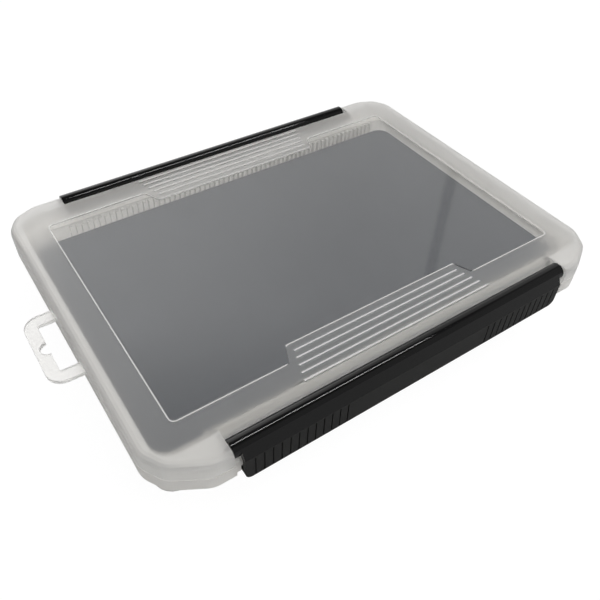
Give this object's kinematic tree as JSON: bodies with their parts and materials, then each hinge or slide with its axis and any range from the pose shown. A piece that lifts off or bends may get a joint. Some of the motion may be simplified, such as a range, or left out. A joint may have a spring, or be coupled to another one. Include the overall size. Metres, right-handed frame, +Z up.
{
  "type": "tackle box",
  "caption": "Flat lidded tackle box: frosted tray with foam insert, hinged windowed lid and a long black latch bar on each long side.",
  "frame": {"origin": "centre of the flat face under the tray that the case rests on", "axes": "+X along the long side, away from the hanging tab; +Y towards the rear latch bar; +Z up through the lid"},
  "size_m": [0.27, 0.1986, 0.04],
  "materials": {
    "tray_plastic": "satin",
    "lid_plastic": "satin",
    "foam": "matte",
    "latch_plastic": "satin"
  },
  "bodies": {
    "base": {"base_tray": "tray_plastic", "hang_tab": "tray_plastic", "foam_insert": "foam"},
    "lid": {"lid": "lid_plastic"},
    "front_latch": {"front_latch": "latch_plastic"},
    "rear_latch": {"rear_latch": "latch_plastic"}
  },
  "joints": [
    {"name": "lid_hinge", "type": "hinge", "parent": "base", "child": "lid", "pos_m": [0, 0.0929, 0.0358], "axis": [-1, 0, 0], "range_deg": [0, 110]},
    {"name": "front_latch_hinge", "type": "hinge", "parent": "lid", "child": "front_latch", "pos_m": [0, -0.0929, 0.0358], "axis": [-1, 0, 0], "range_deg": [0, 150]},
    {"name": "rear_latch_hinge", "type": "hinge", "parent": "base", "child": "rear_latch", "pos_m": [0, 0.0929, 0.0358], "axis": [1, 0, 0], "range_deg": [0, 50]}
  ]
}
